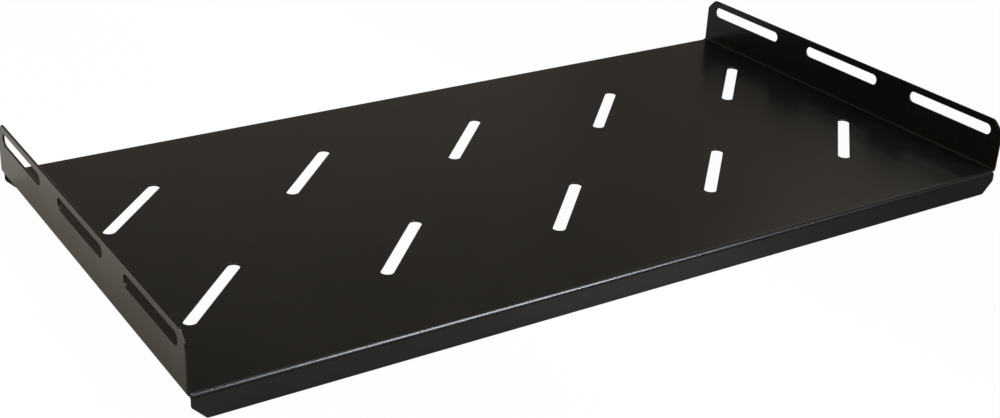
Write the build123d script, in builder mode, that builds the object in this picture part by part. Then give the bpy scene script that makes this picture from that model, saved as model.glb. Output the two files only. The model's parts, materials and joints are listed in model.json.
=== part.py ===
from build123d import *
import os
from math import cos, radians, sin

# A shelf for a 19-inch cabinet, folded from one sheet of steel: a flat tray with two rows of
# slanted slots, a slotted flange folded up along each side, and a lip folded down at the front and
# at the rear. It stands on the lower edges of its two lips.
# Frame: +X to the right, +Y to the rear, +Z up, the middle of the footprint at z = 0.

os.makedirs("parts", exist_ok=True)

# Sheet and overall size, in millimetres
width = 488.0  # over the outer faces of the side flanges
depth = 250.0  # over the outer faces of the front and rear lips
sheet = 1.2  # steel thickness
bend_radius = 1.4  # inner radius of all four folds
flange_height = 30.0  # tray underside to flange top
lip_height = 13.0  # tray top to lip lower edge

# Ends and corners of the four folded edges
flange_inset = 0.8  # flange ends stand back from the lip faces
lip_inset = 1.5  # lip ends stand back from the flange faces
flange_chamfer = 6.0
flange_corner_round = 4.0  # softens both ends of a flange's chamfer
lip_chamfer = 7.0
lip_corner_round = 2.0  # softens both ends of a lip's chamfer
relief_radius = 0.5  # round cut between a flange end and a lip end
edge_break = 0.25  # chamfer that the paint leaves on every cut edge

# Slanted slots through the tray
tray_slot_length = 60.5
tray_slot_width = 6.5
tray_slot_angle = 45.0
tray_slot_pitch = 100.0
tray_row_pitch = 100.0
tray_slot_margin = 10.0  # least flat between a slot and a bend line

# Slots along each side flange
flange_slot_length = 60.0
flange_slot_width = 6.5
flange_slot_pitch = 86.5
flange_slot_drop = 7.3  # flange top edge to slot centre line

# Heights and bend lines that follow from them
outer_radius = bend_radius + sheet
tray_top = lip_height
tray_bottom = tray_top - sheet
tray_middle = tray_top - sheet / 2
flange_top = tray_bottom + flange_height
flange_foot = tray_bottom + outer_radius
lip_root = tray_top - outer_radius
side_bend_x = width / 2 - outer_radius
lip_bend_y = depth / 2 - outer_radius
flange_length = depth - 2 * flange_inset
lip_length = width - 2 * lip_inset
flange_corner = min(flange_chamfer, flange_top - flange_foot - flange_corner_round)
lip_corner = min(lip_chamfer, lip_root - lip_corner_round)


def slots_that_fit(room: float, margin: float, slot: float, pitch: float) -> int:
    """Number of slots at a pitch that lie within the room, with a margin at each end."""
    return int((room - 2 * margin - slot) // pitch) + 1


slot_run = tray_slot_length - tray_slot_width
slot_reach_x = slot_run * abs(cos(radians(tray_slot_angle))) + tray_slot_width
slot_reach_y = slot_run * abs(sin(radians(tray_slot_angle))) + tray_slot_width
slots_per_row = slots_that_fit(2 * side_bend_x, tray_slot_margin, slot_reach_x, tray_slot_pitch)
slot_rows = slots_that_fit(2 * lip_bend_y, tray_slot_margin, slot_reach_y, tray_row_pitch)
slots_per_flange = slots_that_fit(flange_length, flange_corner_round, flange_slot_length, flange_slot_pitch)

# Each cut outline runs smoothly through its arcs, so a chamfer put on the arcs goes all along it.
with BuildPart() as tray:
    # Flat between the four bend lines, with its rows of slanted slots
    with BuildSketch(Plane.XY.offset(tray_bottom)):
        Rectangle(2 * side_bend_x, 2 * lip_bend_y)
        with GridLocations(tray_slot_pitch, tray_row_pitch, slots_per_row, slot_rows):
            SlotOverall(tray_slot_length, tray_slot_width, rotation=tray_slot_angle, mode=Mode.SUBTRACT)
    extrude(amount=sheet)
    chamfer(tray.edges().filter_by(GeomType.CIRCLE), edge_break)

with BuildPart() as flange:
    # Flat of the right flange, with chamfered and rounded top corners and its row of slots
    with BuildSketch(Plane.YZ.offset(width / 2)) as flange_face:
        with Locations((0, flange_foot)):
            Rectangle(flange_length, flange_top - flange_foot, align=(Align.CENTER, Align.MIN))
        chamfer(flange_face.vertices().group_by(Axis.Y)[-1], flange_corner)
        heights = flange_face.vertices().group_by(Axis.Y)
        fillet(heights[-1] + heights[-2], flange_corner_round)
        with Locations((0, flange_top - flange_slot_drop)):
            with GridLocations(flange_slot_pitch, flange_slot_pitch, slots_per_flange, 1):
                SlotOverall(flange_slot_length, flange_slot_width, mode=Mode.SUBTRACT)
    extrude(amount=-sheet)
    # Fold: the sheet's section at the flange's foot, turned down to the bend line
    with BuildSketch(Plane.XY.offset(flange_foot)):
        with Locations((width / 2 - sheet / 2, 0)):
            Rectangle(sheet, flange_length)
    revolve(axis=Axis((side_bend_x, 0, flange_foot), (0, 1, 0)), revolution_arc=90)
    chamfer(flange.edges().filter_by(GeomType.CIRCLE), edge_break)

with BuildPart() as lip:
    # Flat of the front lip, with chamfered and rounded lower corners
    with BuildSketch(Plane.XZ.offset(depth / 2)) as lip_face:
        with Locations((0, lip_root)):
            Rectangle(lip_length, lip_root, align=(Align.CENTER, Align.MAX))
        chamfer(lip_face.vertices().group_by(Axis.Y)[0], lip_corner)
        heights = lip_face.vertices().group_by(Axis.Y)
        fillet(heights[0] + heights[1], lip_corner_round)
    extrude(amount=-sheet)
    # Fold: the sheet's section at the lip's root, turned up to the bend line
    with BuildSketch(Plane.XY.offset(lip_root)):
        with Locations((0, sheet / 2 - depth / 2)):
            Rectangle(lip_length, sheet)
    revolve(axis=Axis((0, -lip_bend_y, lip_root), (1, 0, 0)), revolution_arc=-90)
    chamfer(lip.edges().filter_by(GeomType.CIRCLE), edge_break)

with BuildPart() as shelf:
    # The one folded sheet: the tray, a flange on each side, and a lip at the front and at the rear
    add(tray.part)
    add(flange.part)
    add(mirror(flange.part, about=Plane.YZ, mode=Mode.PRIVATE))
    add(lip.part)
    add(mirror(lip.part, about=Plane.XZ, mode=Mode.PRIVATE))
    # Relief cut in each corner, where a flange end meets a lip end
    with BuildSketch(Plane.XY):
        with GridLocations(lip_length, flange_length, 2, 2):
            Circle(relief_radius)
    extrude(amount=flange_foot, mode=Mode.SUBTRACT)

shelf.part.label = "shelf"
export_step(shelf.part, "parts/shelf.step")
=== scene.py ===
"""A rack shelf folded from one steel sheet and powder coated black, on a pale studio floor."""

from __future__ import annotations

import json
import logging
import math
from dataclasses import dataclass
from enum import Enum
from typing import Optional, Union

import bmesh
import bpy
from mathutils import Euler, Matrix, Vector

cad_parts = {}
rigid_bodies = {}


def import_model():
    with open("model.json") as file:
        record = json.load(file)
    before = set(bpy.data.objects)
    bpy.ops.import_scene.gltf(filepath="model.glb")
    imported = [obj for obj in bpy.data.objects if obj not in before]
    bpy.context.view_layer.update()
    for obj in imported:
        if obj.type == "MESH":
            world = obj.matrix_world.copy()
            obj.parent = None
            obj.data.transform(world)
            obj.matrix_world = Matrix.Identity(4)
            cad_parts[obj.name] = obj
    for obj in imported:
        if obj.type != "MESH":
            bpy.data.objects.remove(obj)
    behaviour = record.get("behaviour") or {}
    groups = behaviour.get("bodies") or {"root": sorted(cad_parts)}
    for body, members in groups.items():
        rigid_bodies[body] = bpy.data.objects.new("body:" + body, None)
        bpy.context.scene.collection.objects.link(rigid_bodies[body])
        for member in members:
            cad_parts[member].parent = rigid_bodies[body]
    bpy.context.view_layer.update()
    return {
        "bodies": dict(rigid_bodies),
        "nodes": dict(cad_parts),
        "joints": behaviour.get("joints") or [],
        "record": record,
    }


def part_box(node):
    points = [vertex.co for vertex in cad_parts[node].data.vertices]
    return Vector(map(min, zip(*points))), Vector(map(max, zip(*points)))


LOG = logging.getLogger("rack_shelf")
MM_PER_METRE = 1000.0
Colour = tuple[float, float, float]
Number = Union[float, "Socket"]


class Socket:
    """A shader value, with Python's own operators for the maths on it."""

    def __init__(self, graph: "Graph", link: bpy.types.NodeSocket) -> None:
        """Wraps an output socket.

        Args:
            graph: the material's nodes, where new Math nodes go.
            link: the output socket that carries the value.
        """
        self.graph = graph
        self.link = link

    def _math(self, operation: str, *values: Number) -> "Socket":
        """Adds one Math node.

        Args:
            operation: the Math node's operation.
            values: its inputs, sockets or numbers.

        Returns:
            The result.
        """
        return self.graph.node("ShaderNodeMath", {"operation": operation}, dict(enumerate(values)))

    def __add__(self, other: Number) -> "Socket":
        """Adds a value."""
        return self._math("ADD", self, other)

    def __radd__(self, other: Number) -> "Socket":
        """Adds a value from the left."""
        return self._math("ADD", other, self)

    def __sub__(self, other: Number) -> "Socket":
        """Takes a value away."""
        return self._math("SUBTRACT", self, other)

    def __rsub__(self, other: Number) -> "Socket":
        """Takes this from a value."""
        return self._math("SUBTRACT", other, self)

    def __mul__(self, other: Number) -> "Socket":
        """Multiplies by a value."""
        return self._math("MULTIPLY", self, other)

    def __rmul__(self, other: Number) -> "Socket":
        """Multiplies by a value from the left."""
        return self._math("MULTIPLY", other, self)

    def __gt__(self, limit: Number) -> "Socket":
        """Gives 1 where the value is above the limit, and 0 elsewhere."""
        return self._math("GREATER_THAN", self, limit)

    def largest(self, other: Number) -> "Socket":
        """Gives the larger of two values."""
        return self._math("MAXIMUM", self, other)

    def ramp(self, low: float, high: float) -> "Socket":
        """Maps low..high to 0..1 with a smooth start and end.

        Args:
            low: the value that gives 0.
            high: the value that gives 1.

        Returns:
            The mapped value.
        """
        settings = {"interpolation_type": "SMOOTHSTEP"}
        inputs = {"Value": self, "From Min": low, "From Max": high}
        return self.graph.node("ShaderNodeMapRange", settings, inputs)


class Graph:
    """The nodes of one material or world, with one method that adds any node."""

    def __init__(self, tree: bpy.types.NodeTree) -> None:
        """Empties a node tree and wraps it.

        Args:
            tree: the node tree of a material or world.
        """
        self.tree = tree
        self.tree.nodes.clear()

    def node(self, kind: str, settings: dict[str, object], inputs: dict[object, object],
             output: Union[int, str] = 0) -> Optional[Socket]:
        """Adds a node, sets it and joins its inputs.

        Args:
            kind: the node's type.
            settings: its own settings, which are set first.
            inputs: values or sockets by input name or number.
            output: the output to give back, by name or number.

        Returns:
            The chosen output, or None for an output node, which has none.
        """
        made = self.tree.nodes.new(kind)
        for name, value in settings.items():
            setattr(made, name, value)
        for name, value in inputs.items():
            if isinstance(value, Socket):
                self.tree.links.new(value.link, made.inputs[name])
            else:
                made.inputs[name].default_value = value
        return Socket(self, made.outputs[output]) if made.outputs else None

    def tint(self, factor: Number, low: Colour, high: Colour) -> Socket:
        """Mixes two colours.

        Args:
            factor: 0 for the first colour, 1 for the second.
            low: the first colour.
            high: the second colour.

        Returns:
            The mixed colour.
        """
        inputs = {0: factor, 6: (*low, 1.0), 7: (*high, 1.0)}
        return self.node("ShaderNodeMix", {"data_type": "RGBA"}, inputs, 2)


class Film(Enum):
    """How glossy a powder coat dries: its mean roughness."""

    SATIN = 0.25
    MATT = 0.65


@dataclass(frozen=True)
class PowderCoat:
    """Black powder coat on steel: a fine orange peel, slightly uneven gloss and a few pale specks.

    The coat is thin on the cut edges of the tray's slots and dries matt there.
    """

    film: Film = Film.SATIN
    edge_film: Film = Film.MATT
    dark: Colour = (0.0034, 0.0031, 0.0028)
    light: Colour = (0.0048, 0.0044, 0.0039)
    cloud_size: float = 0.045
    cloud_layers: float = 3.0
    cloud_range: tuple[float, float] = (0.3, 0.7)
    cloud_gloss: float = 0.04
    grain_size: float = 0.00035
    grain_layers: float = 1.0
    grain_gloss: float = 0.05
    grain_height: float = 0.35
    peel_size: float = 0.0011
    peel_layers: float = 1.0
    peel_depth: float = 0.000002
    speck: Colour = (0.045, 0.045, 0.042)
    speck_pitch: float = 0.003
    speck_rim: tuple[float, float] = (0.05, 0.10)
    speck_limit: float = 0.84
    edge_heights: tuple[float, float] = (0.0119, 0.01297)
    edge_reach: float = 0.1215
    refraction: float = 1.5

    def _noise(self, graph: Graph, place: Socket, size: float, layers: float) -> Socket:
        """Adds a noise of a real size.

        Args:
            graph: the material's nodes.
            place: the point on the surface, in metres.
            size: the size of one lump, in metres.
            layers: the number of finer layers.

        Returns:
            The noise, about 0.5 on average.
        """
        inputs = {"Vector": place, "Scale": 1.0 / size, "Detail": layers, "Roughness": 0.5}
        return graph.node("ShaderNodeTexNoise", {"noise_dimensions": "3D"}, inputs, "Fac")

    def _cut_edge(self, graph: Graph, place: Socket) -> Socket:
        """Finds the walls of the tray's slots, between the tray's two faces.

        Args:
            graph: the material's nodes.
            place: the point on the surface, in metres.

        Returns:
            1 on a slot's wall and edges, and 0 elsewhere.
        """
        up = graph.node("ShaderNodeSeparateXYZ", {}, {"Vector": place}, "Z")
        along = graph.node("ShaderNodeSeparateXYZ", {}, {"Vector": place}, "Y")
        low, high = self.edge_heights
        short_of_folds = 1.0 - (along * along > self.edge_reach ** 2)
        return (up > low) * (1.0 - (up > high)) * short_of_folds

    def build(self) -> bpy.types.Material:
        """Makes the material.

        Returns:
            The powder coat.
        """
        material = bpy.data.materials.new("black_powder_coat")
        material.use_nodes = True
        graph = Graph(material.node_tree)
        place = graph.node("ShaderNodeTexCoord", {}, {}, "Object")
        peel = self._noise(graph, place, self.peel_size, self.peel_layers)
        grain = self._noise(graph, place, self.grain_size, self.grain_layers)
        cloud = self._noise(graph, place, self.cloud_size, self.cloud_layers)
        shade = graph.tint(cloud.ramp(*self.cloud_range), self.dark, self.light)
        base = self._over(graph, shade, self._specks(graph, place))
        matter = self.edge_film.value - self.film.value
        rough = (self.film.value + self.cloud_gloss * (cloud - 0.5) + self.grain_gloss * (grain - 0.5)
                 + matter * self._cut_edge(graph, place))
        relief = {"Strength": 1.0, "Distance": self.peel_depth, "Height": peel + self.grain_height * grain}
        bump = graph.node("ShaderNodeBump", {}, relief)
        shell = {"Base Color": base, "Roughness": rough, "IOR": self.refraction, "Normal": bump}
        surface = graph.node("ShaderNodeBsdfPrincipled", {}, shell)
        graph.node("ShaderNodeOutputMaterial", {}, {"Surface": surface})
        return material

    def _specks(self, graph: Graph, place: Socket) -> Socket:
        """Scatters specks, one in the middle of some of the cells.

        Args:
            graph: the material's nodes.
            place: the point on the surface, in metres.

        Returns:
            1 on a speck, and 0 elsewhere.
        """
        settings = {"feature": "F1"}
        cells = {"Vector": place, "Scale": 1.0 / self.speck_pitch, "Randomness": 1.0}
        nearest = graph.node("ShaderNodeTexVoronoi", settings, cells, "Distance")
        chosen = graph.node("ShaderNodeTexVoronoi", settings, cells, "Color")
        pick = graph.node("ShaderNodeSeparateColor", {}, {"Color": chosen}, "Red")
        return (1.0 - nearest.ramp(*self.speck_rim)) * (pick > self.speck_limit)

    def _over(self, graph: Graph, shade: Socket, mask: Socket) -> Socket:
        """Lays the specks' colour over the coat's.

        Args:
            graph: the material's nodes.
            shade: the coat's colour.
            mask: 1 on a speck.

        Returns:
            The colour with its specks.
        """
        settings = {"operation": "SCALE"}
        kept = graph.node("ShaderNodeVectorMath", settings, {0: shade, "Scale": 1.0 - mask})
        spots = graph.node("ShaderNodeVectorMath", settings, {0: self.speck, "Scale": mask})
        return graph.node("ShaderNodeVectorMath", {"operation": "ADD"}, {0: kept, 1: spots})


@dataclass
class Shelf:
    """The folded sheet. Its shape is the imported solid's own, and this class gives it its finish."""

    node: str
    coat: PowderCoat

    def dress(self, frame: dict) -> None:
        """Puts the powder coat on the sheet.

        Args:
            frame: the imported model.
        """
        sheet = frame["nodes"][self.node]
        sheet.data.materials.clear()
        sheet.data.materials.append(self.coat.build())
        low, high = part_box(self.node)
        span = (high - low) * MM_PER_METRE
        LOG.info("shelf: %.0f mm wide, %.0f mm deep, %.1f mm high", span.x, span.y, span.z)


@dataclass(frozen=True)
class PaintedLightStep:
    """A soft step in the floor's paint, across the shelf: painted light where it rises and painted shade
    where it falls.
    """

    start: float
    end: float
    change: float


@dataclass(frozen=True)
class PaleFloor:
    """A table that shows as white to the eye and keeps a little of the shelf's shadow.

    A gloss mirrors mostly its paint, which carries painted light and shade for the shelf to mirror: palest
    at the left, paler towards the rear, a little paler again in front of the shelf's middle, and darker
    past the front right corner as painted shade.
    """

    colour: Colour = (1.0, 0.955, 0.89)
    glow: Colour = (1.0, 1.0, 1.0)
    white: float = 1.025  # makes up for the eye's share of the paint
    left_level: float = 0.60
    painted_rear_light: float = 0.12
    painted_rear_light_span: tuple[float, float] = (-0.10, 0.12)
    # steps of painted light and shade across the shelf, darkest past the front right corner
    painted_light_steps: tuple[PaintedLightStep, ...] = (
        PaintedLightStep(-0.28, -0.23, -0.24),
        PaintedLightStep(-0.11, -0.04, 0.12),
        PaintedLightStep(0.0, 0.16, -0.30),
        PaintedLightStep(0.14, 0.24, -0.08),
    )
    shadow_share: float = 0.05
    gloss_share: float = 0.95

    def _painted_light_paint(self, graph: Graph) -> Socket:
        """Works out the paint's colour, with its steps of painted light and shade.

        Args:
            graph: the material's nodes.

        Returns:
            The colour.
        """
        place = graph.node("ShaderNodeTexCoord", {}, {}, "Object")
        across = graph.node("ShaderNodeSeparateXYZ", {}, {"Vector": place}, "X")
        along = graph.node("ShaderNodeSeparateXYZ", {}, {"Vector": place}, "Y")
        # painted light and shade: the paint's level rises towards the rear and steps up and down across
        # the shelf, for the shelf to mirror
        level = self.left_level + self.painted_rear_light * along.ramp(*self.painted_rear_light_span)
        for light_step in self.painted_light_steps:
            level = level + light_step.change * across.ramp(light_step.start, light_step.end)
        settings = {"operation": "SCALE"}
        return graph.node("ShaderNodeVectorMath", settings, {0: self.colour, "Scale": level})

    def build(self) -> bpy.types.Material:
        """Makes the material.

        Returns:
            The floor's paint.
        """
        material = bpy.data.materials.new("studio_white")
        material.use_nodes = True
        graph = Graph(material.node_tree)
        eye, gloss, glass = [graph.node("ShaderNodeLightPath", {}, {}, name)
                             for name in ("Is Camera Ray", "Is Glossy Ray", "Is Transmission Ray")]
        seen = eye * (1.0 - self.shadow_share)
        mirrored = gloss.largest(glass) * (1.0 - self.gloss_share)
        # this diffuse paint carries the painted light and shade that glossy rays mostly see
        paint = graph.node("ShaderNodeBsdfDiffuse", {}, {"Color": self._painted_light_paint(graph)})
        glow = {"Color": (*self.glow, 1.0), "Strength": self.white}
        light = graph.node("ShaderNodeEmission", {}, glow)
        surface = graph.node("ShaderNodeMixShader", {}, {0: seen.largest(mirrored), 1: paint, 2: light})
        graph.node("ShaderNodeOutputMaterial", {}, {"Surface": surface})
        return material


@dataclass
class Lamp:
    """A soft box: a rectangular lamp that faces a point."""

    name: str
    place: Vector
    aim: Vector
    width: float
    height: float
    watts: float
    colour: Colour

    def hang(self) -> None:
        """Puts the lamp in the studio."""
        data = bpy.data.lights.new(self.name, "AREA")
        data.shape = "RECTANGLE"
        data.size = self.width
        data.size_y = self.height
        data.energy = self.watts
        data.color = self.colour
        lamp = bpy.data.objects.new(self.name, data)
        lamp.location = self.place
        lamp.rotation_euler = (self.aim - self.place).to_track_quat("-Z", "Y").to_euler()
        bpy.context.scene.collection.objects.link(lamp)
        LOG.info("lamp %s: %.1f W", self.name, self.watts)


@dataclass
class Studio:
    """The white table, the room's soft light and the soft boxes over it."""

    table_width: float
    room: Colour
    room_level: float
    lamps: list[Lamp]

    def build(self) -> None:
        """Lays the table, sets the room's light and hangs the lamps."""
        self._lay_table()
        self._light_room()
        for lamp in self.lamps:
            lamp.hang()

    def _lay_table(self) -> None:
        """Lays the table under the shelf."""
        mesh = bmesh.new()
        bmesh.ops.create_grid(mesh, x_segments=1, y_segments=1, size=self.table_width / 2)
        data = bpy.data.meshes.new("table")
        mesh.to_mesh(data)
        mesh.free()
        data.materials.append(PaleFloor().build())
        table = bpy.data.objects.new("table", data)
        bpy.context.scene.collection.objects.link(table)
        LOG.info("table: %.0f m wide", self.table_width)

    def _light_room(self) -> None:
        """Sets the room's soft light."""
        world = bpy.data.worlds.new("room")
        world.use_nodes = True
        graph = Graph(world.node_tree)
        inputs = {"Color": (*self.room, 1.0), "Strength": self.room_level}
        glow = graph.node("ShaderNodeBackground", {}, inputs)
        graph.node("ShaderNodeOutputWorld", {}, {"Surface": glow})
        bpy.context.scene.world = world


@dataclass
class PhotoCamera:
    """The camera where the photographer stood, worked out from the shelf's edges and slots."""

    place: Vector
    tilt: tuple[float, float, float]
    lens: float
    shift: tuple[float, float]
    sensor: float = 36.0
    nearest: float = 0.01

    def build(self) -> None:
        """Puts the camera in the scene."""
        data = bpy.data.cameras.new("photo_camera")
        data.sensor_fit = "HORIZONTAL"
        data.sensor_width = self.sensor
        data.lens = self.lens
        data.shift_x, data.shift_y = self.shift
        data.clip_start = self.nearest
        camera = bpy.data.objects.new("photo_camera", data)
        camera.location = self.place
        camera.rotation_euler = Euler([math.radians(turn) for turn in self.tilt], "XYZ")
        bpy.context.scene.collection.objects.link(camera)
        bpy.context.scene.camera = camera


def main() -> None:
    """Builds the studio, dresses the shelf and notes both sizes."""
    logging.basicConfig(level=logging.INFO, format="%(name)s: %(message)s")
    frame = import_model()
    bpy.context.scene.view_settings.view_transform = "Standard"
    PhotoCamera(
        place=Vector((-0.44054, -0.61839, 0.3522)),
        tilt=(65.7472, -2.1916, -31.9255),
        lens=54.7015,
        shift=(0.048, -0.0374),
    ).build()
    Shelf(node="shelf", coat=PowderCoat()).dress(frame)
    middle = Vector((0.0, 0.0, 0.02))
    lamps = [
        Lamp("key", Vector((0.674, -0.921, 1.14)), middle, 0.17, 1.10, 25.0, (0.85, 0.885, 1.0)),
        Lamp("top_fill", Vector((0.25, 0.2, 1.45)), middle, 0.6, 0.7, 1.3, (0.93, 0.97, 1.0)),
        Lamp("left_fill", Vector((-1.5, -0.2, 1.15)), middle, 1.2, 1.2, 23.0, (1.0, 0.90, 0.73)),
        Lamp("right_card", Vector((1.54, 0.66, 1.27)), middle, 1.1, 0.75, 1.20, (1.0, 0.94, 0.84)),
        Lamp("rear_card", Vector((0.55, 1.92, 0.80)), middle, 1.6, 0.4, 0.20, (1.0, 0.94, 0.82)),
    ]
    Studio(table_width=12.0, room=(1.0, 0.88, 0.74), room_level=0.148, lamps=lamps).build()


if __name__ == "__main__":
    main()
